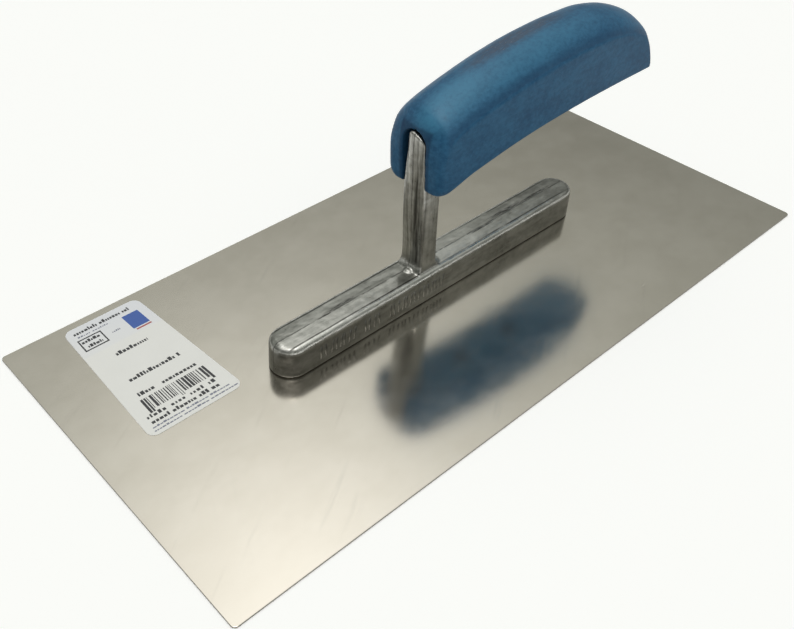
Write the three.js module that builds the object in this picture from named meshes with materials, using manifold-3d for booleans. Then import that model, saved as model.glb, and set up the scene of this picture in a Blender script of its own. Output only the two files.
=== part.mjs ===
// Steel finishing trowel: a thin stainless blade riveted under a cast aluminium mounting whose single post carries a
// lacquered wooden grip. Millimetres, +Z up. The origin is the centre of the blade's working (bottom) face, +X runs along
// the blade towards the back end of the grip, and the object is symmetric about the XZ plane but for its label, slot and post head.
import * as THREE from "three";
import { mergeVertices } from "three/addons/utils/BufferGeometryUtils.js";
import Module from "manifold-3d";

// ---------------------------------------------------------------- driving dimensions
const BLADE_L = 280; // blade length
const BLADE_W = 130; // blade width
const BLADE_T = 0.7; // sheet gauge
const BLADE_R = 1.5; // corner radius

const BAR_X0 = -75.3; // bar ends along X
const BAR_X1 = 74.3;
const BAR_HALF = 7.25; // half width at the foot
const BAR_RIDGE_Z = 13.2; // height of the centre ridge above the working face
const BAR_ROOF = 0.075; // fall of the top facets per mm away from the ridge

const POST_HALF_FOOT = 5.15; // half width of the post at the bar
const POST_HALF_HEAD = 3.8; // half width of the post and tang at the top
const TANG_END_X = 66; // free end of the tang inside the grip

const RIVETS = 7;
const RIVET_PITCH = 21;
const RIVET_SHANK_R = 2.0;
const RIVET_HEAD_R = 3.0;
const RIVET_TOP_Z = 9.0;
const RIVET_GAP = 0.2; // radial clearance round a rivet

const SCREW_X = [24, 54]; // screws through the underside of the grip into the tang
const SCREW_R = 1.75;
const SCREW_HEAD_R = 3.2;
const SCREW_L = 11;

const GRIP_X0 = -15.9; // front of the grip
const GRIP_X1 = 101.9; // back of the grip, at its middle
const GRIP_END_R = 15.4; // radius of the grip's rounded back end, seen from above
const GRIP_END_SAG = 6.0; // how far that arc stands out beyond the flat sides
const GRIP_FLARE = 0.04; // extra half width at the foot of the section, as a share
const GRIP_LEAN = 0.09; // forward lean of the front face, mm per mm of height
const SLOT_HALF = 5.15; // half width of the slot that takes the post
const SLOT_SHIFT = 0.15; // the slot sits a little to the +Y side
const SLOT_BACK_X = -4.4; // back wall of the slot; behind it the grip is closed underneath
const SLOT_TOP_Z = 68.9;
const MORTISE_GAP = 0.5; // clearance round the tang

const LABEL_T = 0.14; // thickness of the foil label
const LABEL_R = 3.2;
const LABEL_C = [-104.0, 32.0]; // centre of the label on the blade
const LABEL_SIZE = [32.8, 59.6];

// ---------------------------------------------------------------- helpers
const wasm = await Module();
wasm.setup();

function solid(geometry) {
  const g = geometry.index ? geometry.toNonIndexed() : geometry.clone();
  g.deleteAttribute("normal");
  g.deleteAttribute("uv");
  const m = mergeVertices(g, 1e-4);
  return new wasm.Manifold(
    new wasm.Mesh({
      numProp: 3,
      vertProperties: new Float32Array(m.attributes.position.array),
      triVerts: new Uint32Array(m.index.array),
    }),
  );
}

function geometryOf(manifold) {
  const m = manifold.getMesh();
  const g = new THREE.BufferGeometry();
  g.setAttribute("position", new THREE.BufferAttribute(new Float32Array(m.vertProperties), 3));
  g.setIndex(new THREE.BufferAttribute(new Uint32Array(m.triVerts), 1));
  g.computeVertexNormals();
  return g;
}

// Closed skin through rings of equal point count, capped with a fan at each end.
function loft(rings) {
  const n = rings[0].length, v = [], f = [];
  for (const r of rings) for (const p of r) v.push(p[0], p[1], p[2]);
  for (let i = 0; i < rings.length - 1; i++)
    for (let j = 0; j < n; j++) {
      const a = i * n + j, b = i * n + ((j + 1) % n), c = a + n, d = b + n;
      f.push(a, b, d, a, d, c);
    }
  for (const [ring, base, flip] of [[rings[0], 0, true], [rings[rings.length - 1], (rings.length - 1) * n, false]]) {
    const mid = [0, 1, 2].map((k) => ring.reduce((s, p) => s + p[k], 0) / n);
    const c = v.length / 3;
    v.push(...mid);
    for (let j = 0; j < n; j++) {
      const a = base + j, b = base + ((j + 1) % n);
      if (flip) f.push(c, b, a);
      else f.push(c, a, b);
    }
  }
  const g = new THREE.BufferGeometry();
  g.setAttribute("position", new THREE.Float32BufferAttribute(v, 3));
  g.setIndex(f);
  return g;
}

function outward(geometry) {
  // Turns every face round if the skin encloses a negative volume.
  const g = geometry.index ? geometry : mergeVertices(geometry);
  const p = g.attributes.position, ix = g.index.array;
  let vol = 0;
  const a = new THREE.Vector3(), b = new THREE.Vector3(), c = new THREE.Vector3();
  for (let i = 0; i < ix.length; i += 3) {
    a.fromBufferAttribute(p, ix[i]);
    b.fromBufferAttribute(p, ix[i + 1]);
    c.fromBufferAttribute(p, ix[i + 2]);
    vol += a.dot(b.cross(c));
  }
  if (vol < 0) for (let i = 0; i < ix.length; i += 3) [ix[i + 1], ix[i + 2]] = [ix[i + 2], ix[i + 1]];
  return g;
}

// Piecewise-linear or smooth interpolation through (x, value) pairs.
function table(pairs) {
  return (x) => {
    if (x <= pairs[0][0]) return pairs[0][1];
    const last = pairs[pairs.length - 1];
    if (x >= last[0]) return last[1];
    let i = 0;
    while (pairs[i + 1][0] < x) i++;
    const [x0, y0] = pairs[i], [x1, y1] = pairs[i + 1], h = x1 - x0, t = (x - x0) / h;
    const slope = (k) => {
      if (k <= 0) return (pairs[1][1] - pairs[0][1]) / (pairs[1][0] - pairs[0][0]);
      if (k >= pairs.length - 1) return (last[1] - pairs[k - 1][1]) / (last[0] - pairs[k - 1][0]);
      const a = (pairs[k][1] - pairs[k - 1][1]) / (pairs[k][0] - pairs[k - 1][0]);
      const b = (pairs[k + 1][1] - pairs[k][1]) / (pairs[k + 1][0] - pairs[k][0]);
      return a * b <= 0 ? 0 : (2 * a * b) / (a + b);
    };
    const m0 = slope(i) * h, m1 = slope(i + 1) * h;
    return (
      (2 * t ** 3 - 3 * t ** 2 + 1) * y0 + (t ** 3 - 2 * t ** 2 + t) * m0 + (-2 * t ** 3 + 3 * t ** 2) * y1 + (t ** 3 - t ** 2) * m1
    );
  };
}

function roundedRect(w, h, r) {
  const s = new THREE.Shape(), x = w / 2, y = h / 2;
  s.moveTo(-x + r, -y);
  s.lineTo(x - r, -y);
  s.absarc(x - r, -y + r, r, -Math.PI / 2, 0);
  s.lineTo(x, y - r);
  s.absarc(x - r, y - r, r, 0, Math.PI / 2);
  s.lineTo(-x + r, y);
  s.absarc(-x + r, y - r, r, Math.PI / 2, Math.PI);
  s.lineTo(-x, -y + r);
  s.absarc(-x + r, -y + r, r, Math.PI, 1.5 * Math.PI);
  return s;
}

// Surface of revolution about Z from (radius, z) pairs that start and end on the axis.
function turned(profile, segments) {
  const g = new THREE.LatheGeometry(profile.map(([r, z]) => new THREE.Vector2(r, z)), segments);
  g.rotateX(Math.PI / 2); // the lathe turns about Y
  g.scale(1, 1, 1);
  return g;
}

const rivetX = [...Array(RIVETS)].map((_, i) => (BAR_X0 + BAR_X1) / 2 + (i - (RIVETS - 1) / 2) * RIVET_PITCH);

// ---------------------------------------------------------------- blade
function bladeSolid() {
  const g = new THREE.ExtrudeGeometry(roundedRect(BLADE_L, BLADE_W, BLADE_R), {
    depth: BLADE_T,
    bevelEnabled: false,
    curveSegments: 5,
  });
  let s = solid(g);
  for (const x of rivetX) {
    const hole = turned(
      [
        [0, -1],
        [RIVET_HEAD_R + RIVET_GAP + 1.0, -1],
        [RIVET_HEAD_R + RIVET_GAP, 0],
        [RIVET_SHANK_R + RIVET_GAP, BLADE_T + 0.0],
        [RIVET_SHANK_R + RIVET_GAP, 2],
        [0, 2],
      ],
      20,
    );
    hole.translate(x, 0, 0);
    s = s.subtract(solid(outward(mergeVertices(strip(hole)))));
  }
  return s;
}

function strip(g) {
  g = g.clone();
  g.deleteAttribute("normal");
  g.deleteAttribute("uv");
  return g;
}

// ---------------------------------------------------------------- cast mounting: bar, post and tang in one piece
const arcN = 7; // segments per quarter of a bar end
function barOutline(half) {
  // From the front tip along +Y to the back tip, then back along -Y. Both ends are full rounds about fixed centres.
  const c0 = BAR_X0 + BAR_HALF, c1 = BAR_X1 - BAR_HALF, side = [];
  for (let i = 0; i <= arcN; i++) {
    const a = (i / arcN) * (Math.PI / 2);
    side.push([c0 - half * Math.cos(a), half * Math.sin(a)]);
  }
  for (let i = 0; i <= arcN; i++) {
    const a = (i / arcN) * (Math.PI / 2);
    side.push([c1 + half * Math.sin(a), half * Math.cos(a)]);
  }
  return side; // +Y side, tip to tip
}

function barSolid() {
  const foot = BLADE_T;
  const levels = [
    [6.95, () => foot],
    [BAR_HALF, () => foot + 0.35],
    [6.98, () => 11.2],
    [6.75, () => 12.05],
    [6.25, () => 12.55],
    [5.55, (y) => BAR_RIDGE_Z - BAR_ROOF * Math.abs(y)],
  ];
  const v = [], f = [];
  const M = barOutline(1).length;
  const N = 2 * M - 2; // points round one ring
  for (const [half, z] of levels) {
    const side = barOutline(half);
    for (let i = 0; i < M; i++) v.push(side[i][0], side[i][1], z(side[i][1]));
    for (let i = M - 2; i > 0; i--) v.push(side[i][0], -side[i][1], z(-side[i][1]));
  }
  const quad = (a, b, c, d) => f.push(a, b, c, a, c, d);
  for (let k = 0; k < levels.length - 1; k++)
    for (let j = 0; j < N; j++) {
      const a = k * N + j, b = k * N + ((j + 1) % N);
      quad(a, a + N, b + N, b);
    }
  const cap = (base, z, up) => {
    // A strip of quads each side of the centre line, so that the top facets meet in one ridge.
    const mid = [];
    for (let i = 0; i < M; i++) {
      if (i === 0 || i === M - 1) mid.push(base + i);
      else {
        mid.push(v.length / 3);
        v.push(v[3 * (base + i)], 0, z);
      }
    }
    const other = (i) => (i === 0 || i === M - 1 ? base + i : base + N - i);
    for (let i = 0; i < M - 1; i++) {
      const t = (a, b, c) => {
        if (a === b || b === c || a === c) return;
        if (up) f.push(a, b, c);
        else f.push(a, c, b);
      };
      t(base + i, mid[i], mid[i + 1]);
      t(base + i, mid[i + 1], base + i + 1);
      t(other(i), mid[i + 1], mid[i]);
      t(other(i), other(i + 1), mid[i + 1]);
    }
  };
  cap((levels.length - 1) * N, BAR_RIDGE_Z, true);
  cap(0, foot, false);
  const g = new THREE.BufferGeometry();
  g.setAttribute("position", new THREE.Float32BufferAttribute(v, 3));
  g.setIndex(f);
  return solid(outward(g));
}

// Side view of the post and tang, as a closed run of (x, z).
const tangTop = table([[-16, 67.0], [20, 68.0], [TANG_END_X, 69.3]]);
const tangFoot = table([[-6, 55.2], [2, 56.4], [20, 59.4], [TANG_END_X, 62.6]]);
const postProfile = [
  [-15.2, 12.2],
  [-14.2, 13.9],
  [-13.5, 15.4],
  [-13.3, 17.5],
  [-14.3, 32],
  [-15.3, 48],
  [-16.2, 60],
  [-16.4, 66.2],
  [-16.0, 67.8],
  [-14.0, 68.5],
  [0, 68.4],
  [20, 68.9],
  [TANG_END_X - 3, 70.2],
  [TANG_END_X - 0.8, 69.1],
  [TANG_END_X, 67.4],
  [TANG_END_X, 64.8],
  [TANG_END_X - 1.4, 62.7],
  [45, 61.4],
  [20, 59.4],
  [8, 57.5],
  [2, 56.4],
  [-2.6, 55.0],
  [-5.2, 52.6],
  [-6.7, 49.0],
  [-6.5, 40],
  [-5.5, 17.5],
  [-5.2, 15.4],
  [-4.4, 13.9],
  [-3.0, 12.2],
];

// The two sides of the post differ at the head, which leans a little to the -Y side of its slot.
const postFar = table([[13, POST_HALF_FOOT], [30, 5.05], [44, 4.8], [50, 4.45], [57, 3.65], [62, 3.05], [66, 2.95]]);
const postNear = table([[13, POST_HALF_FOOT], [30, 5.05], [44, 4.9], [54, 4.75], [60, 4.65], [65, 4.4]]);

function postSolid() {
  const s = new THREE.Shape(postProfile.map(([x, z]) => new THREE.Vector2(x, z)));
  const bevel = 0.85;
  const g = new THREE.ExtrudeGeometry(s, {
    depth: 2 * (POST_HALF_FOOT - bevel),
    bevelEnabled: true,
    bevelThickness: bevel,
    bevelSize: bevel,
    bevelOffset: -bevel,
    bevelSegments: 2,
    curveSegments: 1,
  });
  // The shape lies in XY and is extruded along +Z: stand it up so that the extrusion runs along -Y, centred on Y = 0.
  g.translate(0, 0, -(POST_HALF_FOOT - bevel));
  g.rotateX(Math.PI / 2);
  const p = g.attributes.position;
  for (let i = 0; i < p.count; i++) {
    const z = p.getZ(i), x = p.getX(i);
    const back = THREE.MathUtils.clamp((x + 5) / 81, 0, 1);
    const tang = THREE.MathUtils.clamp((x + 12) / 10, 0, 1) * THREE.MathUtils.clamp((z - 50) / 5, 0, 1);
    const side = p.getY(i) > 0 ? postFar(z) : postNear(z);
    const half = THREE.MathUtils.lerp(side, POST_HALF_HEAD - 0.4 * back, tang);
    p.setY(i, (p.getY(i) * half) / POST_HALF_FOOT);
  }
  // Round top over the length of the tang; the head of the post has a skew top, higher on the +Y side.
  const rings = [];
  const head = [
    [3.15, 65.0], [3.05, 66.3], [2.6, 67.2], [1.9, 67.8], [1.0, 68.0], [0.0, 67.9], [-1.1, 67.6], [-2.2, 67.1], [-3.4, 66.3], [-4.3, 65.3], [-4.8, 63.6],
  ];
  for (const x of [-22, -12]) rings.push([[x, 9, 5], [x, 9, 60], ...head.map(([y, z]) => [x, y, z]), [x, -9, 58], [x, -9, 5]]);
  for (const x of [-4, 20, 45, TANG_END_X + 4]) {
    const back = THREE.MathUtils.clamp((x + 5) / 81, 0, 1);
    const r = POST_HALF_HEAD - 0.4 * back + 0.1, zt = tangTop(x), ring = [];
    ring.push([x, 9, 5], [x, 9, zt - r - 6], [x, r + 0.02, zt - r - 0.02]);
    for (let i = 1; i < 10; i++) {
      const a = (i / 10) * Math.PI;
      ring.push([x, r * Math.cos(a), zt - r + r * Math.sin(a)]);
    }
    ring.push([x, -r - 0.02, zt - r - 0.02], [x, -9, zt - r - 6], [x, -9, 5]);
    rings.push(ring);
  }
  return solid(outward(mergeVertices(strip(g), 1e-4))).intersect(solid(outward(loft(rings))));
}

function mountSolid() {
  let s = barSolid().add(postSolid());
  for (const x of rivetX) {
    const r = RIVET_SHANK_R + RIVET_GAP;
    const hole = turned([[0, -1], [r, -1], [r, RIVET_TOP_Z + 0.3], [0, RIVET_TOP_Z + 0.9]], 16);
    hole.translate(x, 0, 0);
    s = s.subtract(solid(outward(mergeVertices(strip(hole)))));
  }
  for (const x of SCREW_X) {
    // Blind hole for the screw, from below.
    const z = gripFoot(x), r = SCREW_R + 0.3;
    const hole = turned([[0, z - 4], [r, z - 4], [r, z + SCREW_L + 0.6], [0, z + SCREW_L + 1.2]], 16);
    hole.translate(x, 0, 0);
    s = s.subtract(solid(outward(mergeVertices(strip(hole)))));
  }
  return s;
}

// ---------------------------------------------------------------- grip
const gripTop = table([
  [GRIP_X0, 63.8],
  [-15.1, 68.7],
  [-14.2, 71.3],
  [-13, 73.3],
  [-11.3, 75.2],
  [-9.5, 76.3],
  [-7, 77.25],
  [-4, 78.25],
  [1, 79.65],
  [6, 81],
  [13, 82.75],
  [20, 84.15],
  [36, 86],
  [52, 86.7],
  [64, 86.5],
  [74, 84.9],
  [80, 83.1],
  [86, 80.6],
  [92, 77.2],
  [98, 72.8],
  [106, 65],
]);
const gripFoot = table([
  [GRIP_X0, 48.9],
  [-15.4, 48.1],
  [-14.2, 47.8],
  [-12.5, 47.9],
  [-9.5, 48.9],
  [-4, 50.9],
  [0, 52.1],
  [18, 55.4],
  [38, 57.5],
  [60, 58.6],
  [82, 59.0],
  [106, 59.2],
]);
const gripHalf = table([
  [GRIP_X0, 9.6],
  [-15.6, 10.6],
  [-14.9, 11.4],
  [-13.6, 11.95],
  [-11.4, 12.2],
  [-5, 12.3],
  [40, 12.4],
  [80, 12.25],
  [106, 12.2],
]);
// Height of the round crown above the soft crease where it meets the flat sides.
const gripRise = table([
  [GRIP_X0, 8.7], [-14, 9.5], [-11.4, 7.8], [-8.5, 7.35], [-5, 7.3], [2, 7.35], [10, 8.05], [18, 8.45], [43, 8.1], [64, 7.8], [76, 7.3], [84, 6.6], [106, 6.2],
]);
// Rounding of the lower edges of the grip: soft at the front, crisp at the back.
const gripEdge = table([[GRIP_X0, 4.0], [-12, 3.4], [-6, 2.5], [12, 1.3], [70, 1.0], [90, 0.7]]);
const GRIP_STATIONS = [GRIP_X0, -15.6, -14.9, -13.6, -11.4, -8.5, -4, 3, 12, 24, 38, 52, 64, 73, 80, 86, 91, 96, 101, 106];
// Back end in side view: x of the end face, where it meets the flat sides, against z.
const gripEnd = table([[59, 95.9], [61.1, 95.5], [63.8, 94.5], [66.5, 93.2], [68.8, 91.9], [71.2, 90.2], [74.2, 87.8], [77.1, 84.5], [80, 80.9], [84, 75.6]]);
const GRIP_END_LEVELS = [40, 59, 61.1, 63.8, 66.5, 68.8, 71.2, 74.2, 77.1, 80, 84, 95];

function gripRing(x) {
  const b = gripHalf(x), zt = gripTop(x), zf = gripFoot(x), ring = [];
  const rise = Math.min(gripRise(x), (zt - zf) * 0.6), R = (b * b + rise * rise) / (2 * rise), a0 = Math.asin((R - rise) / R);
  const r = Math.min(gripEdge(x), b * 0.36, (zt - rise - zf) * 0.8);
  for (let i = 0; i <= 18; i++) {
    const a = a0 + (i / 18) * (Math.PI - 2 * a0);
    ring.push([x, R * Math.cos(a), zt - R + R * Math.sin(a)]);
  }
  for (const side of [-1, 1]) {
    const arc = [];
    for (let i = 0; i <= 3; i++) {
      const a = (i / 3) * (Math.PI / 2);
      arc.push([x, side * (b - r + r * Math.cos(a)), zf + r - r * Math.sin(a)]);
    }
    ring.push(...(side < 0 ? arc : arc.reverse()));
  }
  // The sides flare a little towards the foot, and the front face leans forward with the post; the lean fades out
  // over the first part of the grip.
  const fade = THREE.MathUtils.clamp((22 - x) / 30, 0, 1);
  for (const p of ring) {
    p[1] *= 1 + GRIP_FLARE * (1 - (p[2] - zf) / (zt - zf));
    p[0] -= GRIP_LEAN * fade * (p[2] - 58);
  }
  return ring;
}

// Everything in front of the rounded back end.
function gripEndSolid() {
  const rings = GRIP_END_LEVELS.map((z) => {
    const ring = [[-60, -25, z]];
    for (let i = 0; i <= 16; i++) {
      const y = -14 + (28 * i) / 16;
      ring.push([gripEnd(z) + GRIP_END_SAG - GRIP_END_R + Math.sqrt(GRIP_END_R ** 2 - y * y), y, z]);
    }
    ring.push([-60, 25, z]);
    return ring;
  });
  return solid(outward(loft(rings)));
}

function gripSolid() {
  let s = solid(outward(loft(GRIP_STATIONS.map(gripRing))));
  s = s.intersect(gripEndSolid());
  // Slot for the post, open at the front and underneath, with a round top.
  const slot = [-25, -14, SLOT_BACK_X].map((x) => {
    const ring = [[x, SLOT_SHIFT + SLOT_HALF, 30]];
    for (let i = 0; i <= 12; i++) {
      const a = (i / 12) * Math.PI;
      ring.push([x, SLOT_SHIFT + SLOT_HALF * Math.cos(a), SLOT_TOP_Z - SLOT_HALF + SLOT_HALF * Math.sin(a)]);
    }
    ring.push([x, SLOT_SHIFT - SLOT_HALF, 30]);
    return ring;
  });
  s = s.subtract(solid(outward(loft(slot))));
  // Mortise for the tang, reached through the slot and closed underneath.
  const mortise = [[-8, 52.0], [SLOT_BACK_X, 52.6], [-2.6, 54.2], [2, 55.7], [8, 56.9], [20, 58.9], [45, 60.9], [TANG_END_X + 0.8, 62.1]].map(([x, bottom]) => {
    const back = THREE.MathUtils.clamp((x + 5) / 81, 0, 1), h = POST_HALF_HEAD - 0.4 * back + MORTISE_GAP, zt = tangTop(x) + MORTISE_GAP;
    const ring = [[x, h, bottom]];
    for (let i = 0; i <= 10; i++) {
      const a = (i / 10) * Math.PI;
      ring.push([x, h * Math.cos(a), zt - h + h * Math.sin(a)]);
    }
    ring.push([x, -h, bottom]);
    return ring;
  });
  s = s.subtract(solid(outward(loft(mortise))));
  for (const x of SCREW_X) {
    const z = gripFoot(x), r = SCREW_R + 0.3;
    const hole = turned([[0, z - 3], [SCREW_HEAD_R + 0.3, z - 3], [SCREW_HEAD_R + 0.3, z + 0.55], [r, z + 2.5], [r, z + 6], [0, z + 6]], 20);
    hole.translate(x, 0, 0);
    s = s.subtract(solid(outward(mergeVertices(strip(hole)))));
  }
  return s;
}

// ---------------------------------------------------------------- fasteners
function rivetGeometry(x) {
  const g = turned(
    [
      [0, 0.02],
      [RIVET_HEAD_R - 0.05, 0.02],
      [RIVET_SHANK_R + 0.02, BLADE_T - 0.02],
      [RIVET_SHANK_R, BLADE_T + 0.3],
      [RIVET_SHANK_R, RIVET_TOP_Z - 0.6],
      [RIVET_SHANK_R - 0.6, RIVET_TOP_Z],
      [0, RIVET_TOP_Z],
    ],
    20,
  );
  g.translate(x, 0, 0);
  return outward(mergeVertices(strip(g)));
}

function screwGeometry(x) {
  const z = gripFoot(x) + 0.35;
  const profile = [
    [0, z + 1.1],
    [0.9, z + 0.1],
    [1.3, z],
    [SCREW_HEAD_R - 0.1, z],
    [SCREW_HEAD_R, z + 0.25],
    [SCREW_R, z + 2.0],
    [SCREW_R - 0.1, z + 3.4],
  ];
  // Thread as plain rings, ending in a short chamfer.
  for (let k = 0; k < 4; k++) {
    const t = z + 3.6 + k * 1.7;
    profile.push([SCREW_R - 0.5, t], [SCREW_R - 0.05, t + 0.7], [SCREW_R - 0.5, t + 1.4]);
  }
  profile.push([0.8, z + SCREW_L - 0.4], [0, z + SCREW_L - 0.3]);
  const g = turned(profile, 14);
  g.translate(x, 0, 0);
  return outward(mergeVertices(strip(g)));
}

function labelGeometry() {
  const g = new THREE.ExtrudeGeometry(roundedRect(LABEL_SIZE[0], LABEL_SIZE[1], LABEL_R), {
    depth: LABEL_T,
    bevelEnabled: false,
    curveSegments: 6,
  });
  return strip(g);
}

// ---------------------------------------------------------------- scene graph
const steel = new THREE.MeshStandardMaterial({ color: 0xb9b6ad, roughness: 0.28, metalness: 1.0 });
const cast = new THREE.MeshStandardMaterial({ color: 0x9b9a95, roughness: 0.36, metalness: 1.0 });
const rivetMetal = new THREE.MeshStandardMaterial({ color: 0xa8a8a6, roughness: 0.3, metalness: 1.0 });
const black = new THREE.MeshStandardMaterial({ color: 0x3a3a3c, roughness: 0.45, metalness: 1.0 });
const lacquer = new THREE.MeshStandardMaterial({ color: 0x2b5f8e, roughness: 0.42, metalness: 0.0 });
const foil = new THREE.MeshStandardMaterial({ color: 0xdededb, roughness: 0.5, metalness: 0.0 });

const trowel = new THREE.Group();
function put(parent, name, geometry, material) {
  const m = new THREE.Mesh(geometry, material);
  m.name = name;
  parent.add(m);
  return m;
}

put(trowel, "blade", geometryOf(bladeSolid()), steel);

const mounting = new THREE.Group();
put(mounting, "mount_casting", geometryOf(mountSolid()), cast);
rivetX.forEach((x, i) => put(mounting, "blade_rivet_" + (i + 1), rivetGeometry(x), rivetMetal));
trowel.add(mounting);

const grip = new THREE.Group();
put(grip, "handle_grip", geometryOf(gripSolid()), lacquer);
SCREW_X.forEach((x, i) => put(grip, "handle_screw_" + (i + 1), screwGeometry(x), black));
trowel.add(grip);

const label = put(trowel, "blade_label", labelGeometry(), foil);
label.position.set(LABEL_C[0], LABEL_C[1], BLADE_T);

export default trowel;
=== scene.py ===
import math
import random

import bmesh
import bpy
import numpy as np
from mathutils import Matrix, Vector


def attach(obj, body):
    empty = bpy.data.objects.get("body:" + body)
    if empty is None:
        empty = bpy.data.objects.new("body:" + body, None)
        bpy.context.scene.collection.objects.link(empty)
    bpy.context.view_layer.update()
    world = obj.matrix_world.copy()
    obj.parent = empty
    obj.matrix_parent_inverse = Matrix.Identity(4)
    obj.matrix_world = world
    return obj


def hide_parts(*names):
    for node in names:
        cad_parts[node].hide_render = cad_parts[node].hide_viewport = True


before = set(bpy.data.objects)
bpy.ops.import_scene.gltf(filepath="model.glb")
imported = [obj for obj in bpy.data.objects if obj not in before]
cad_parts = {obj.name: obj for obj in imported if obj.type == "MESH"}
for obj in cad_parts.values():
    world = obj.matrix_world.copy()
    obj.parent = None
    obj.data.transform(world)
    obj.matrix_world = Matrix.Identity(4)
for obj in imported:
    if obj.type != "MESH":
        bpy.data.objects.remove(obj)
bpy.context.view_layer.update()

MM = 0.001
random.seed(7)

# ------------------------------------------------------------------ dimensions, in millimetres, as in the CAD source
BLADE_L, BLADE_W, BLADE_T, BLADE_R = 280.0, 130.0, 0.7, 1.5
BAR_X0, BAR_X1, BAR_HALF, BAR_RIDGE_Z = -75.3, 74.3, 7.25, 13.2
RIVET_X = [(BAR_X0 + BAR_X1) / 2 + (i - 3) * 21.0 for i in range(7)]
TANG_END_X = 66.0
SLOT_HALF, SLOT_SHIFT, SLOT_TOP_Z, SLOT_BACK_X, MORTISE_GAP = 5.15, 0.15, 68.9, -4.4, 0.5
GRIP_X0 = -15.9
GRIP_END_R, GRIP_END_SAG = 15.4, 6.0
GRIP_FLARE, GRIP_LEAN = 0.04, 0.09
LABEL_C, LABEL_SIZE, LABEL_R, LABEL_T = (-104.0, 32.0), (32.8, 59.6), 3.2, 0.14
SCREW_X = [24.0, 54.0]


def table(pairs):
    """Monotone cubic through (x, value) pairs, as in the CAD source."""
    xs = [p[0] for p in pairs]
    ys = [p[1] for p in pairs]
    n = len(pairs)
    d = [(ys[i + 1] - ys[i]) / (xs[i + 1] - xs[i]) for i in range(n - 1)]
    m = [d[0]] + [0 if d[i - 1] * d[i] <= 0 else 2 * d[i - 1] * d[i] / (d[i - 1] + d[i]) for i in range(1, n - 1)] + [d[-1]]

    def f(x):
        if x <= xs[0]:
            return ys[0]
        if x >= xs[-1]:
            return ys[-1]
        i = 0
        while xs[i + 1] < x:
            i += 1
        h = xs[i + 1] - xs[i]
        t = (x - xs[i]) / h
        return ((2 * t**3 - 3 * t**2 + 1) * ys[i] + (t**3 - 2 * t**2 + t) * m[i] * h
                + (-2 * t**3 + 3 * t**2) * ys[i + 1] + (t**3 - t**2) * m[i + 1] * h)

    return f


def clamp(v, a=0.0, b=1.0):
    return max(a, min(b, v))


def lerp(a, b, t):
    return a + (b - a) * t


# ------------------------------------------------------------------ mesh helpers
def mesh_object(name, verts, faces, scale=MM):
    me = bpy.data.meshes.new(name)
    me.from_pydata([(x * scale, y * scale, z * scale) for x, y, z in verts], [], faces)
    me.validate()
    ob = bpy.data.objects.new(name, me)
    bpy.context.scene.collection.objects.link(ob)
    bm = bmesh.new()
    bm.from_mesh(me)
    bmesh.ops.recalc_face_normals(bm, faces=bm.faces)
    bm.to_mesh(me)
    bm.free()
    return ob


def loft(name, rings, cap=True):
    n = len(rings[0])
    verts = [p for r in rings for p in r]
    faces = []
    for i in range(len(rings) - 1):
        for j in range(n):
            a, b = i * n + j, i * n + (j + 1) % n
            faces.append((a, b, b + n, a + n))
    if cap:
        faces.append(tuple(range(n))[::-1])
        faces.append(tuple(range((len(rings) - 1) * n, len(rings) * n)))
    return mesh_object(name, verts, faces)


def modify(ob, kind, **settings):
    m = ob.modifiers.new(kind.title(), kind)
    for k, v in settings.items():
        setattr(m, k, v)
    return m


def bake_modifiers(ob):
    """Replaces the mesh by its evaluated form and drops the modifiers."""
    dg = bpy.context.evaluated_depsgraph_get()
    dg.update()
    me = bpy.data.meshes.new_from_object(ob.evaluated_get(dg), depsgraph=dg)
    ob.modifiers.clear()
    old = ob.data
    ob.data = me
    bpy.data.meshes.remove(old)
    return ob


def remove(*obs):
    for o in obs:
        bpy.data.objects.remove(o, do_unlink=True)


def cut(ob, cutter, operation="DIFFERENCE"):
    modify(ob, "BOOLEAN", operation=operation, solver="EXACT", object=cutter)
    bake_modifiers(ob)
    remove(cutter)


def join(name, obs):
    verts, faces = [], []
    for o in obs:
        base = len(verts)
        verts += [tuple(o.matrix_world @ v.co) for v in o.data.vertices]
        faces += [tuple(base + i for i in p.vertices) for p in o.data.polygons]
    me = bpy.data.meshes.new(name)
    me.from_pydata(verts, [], faces)
    ob = bpy.data.objects.new(name, me)
    bpy.context.scene.collection.objects.link(ob)
    remove(*obs)
    return ob


def voxel(ob, size_mm, smooth=4, factor=0.5):
    modify(ob, "REMESH", mode="VOXEL", voxel_size=size_mm * MM, adaptivity=0.0)
    if smooth:
        modify(ob, "SMOOTH", factor=factor, iterations=smooth)
    return bake_modifiers(ob)


def shade(ob, smooth=True):
    for p in ob.data.polygons:
        p.use_smooth = smooth
    return ob


def turned(name, profile, segments, at):
    """Closed surface of revolution about Z through the point at, from (radius, z) pairs that start and end at radius 0."""
    verts, faces = [], []
    rows = []
    for r, z in profile:
        if r < 1e-6:
            rows.append([len(verts)])
            verts.append((at[0], at[1], at[2] + z))
        else:
            rows.append(list(range(len(verts), len(verts) + segments)))
            for k in range(segments):
                a = 2 * math.pi * k / segments
                verts.append((at[0] + r * math.cos(a), at[1] + r * math.sin(a), at[2] + z))
    for lo, hi in zip(rows, rows[1:]):
        for k in range(segments):
            j = (k + 1) % segments
            if len(lo) == 1 and len(hi) == 1:
                continue
            if len(lo) == 1:
                faces.append((lo[0], hi[j], hi[k]))
            elif len(hi) == 1:
                faces.append((lo[k], lo[j], hi[0]))
            else:
                faces.append((lo[k], lo[j], hi[j], hi[k]))
    return mesh_object(name, verts, faces)


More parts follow.
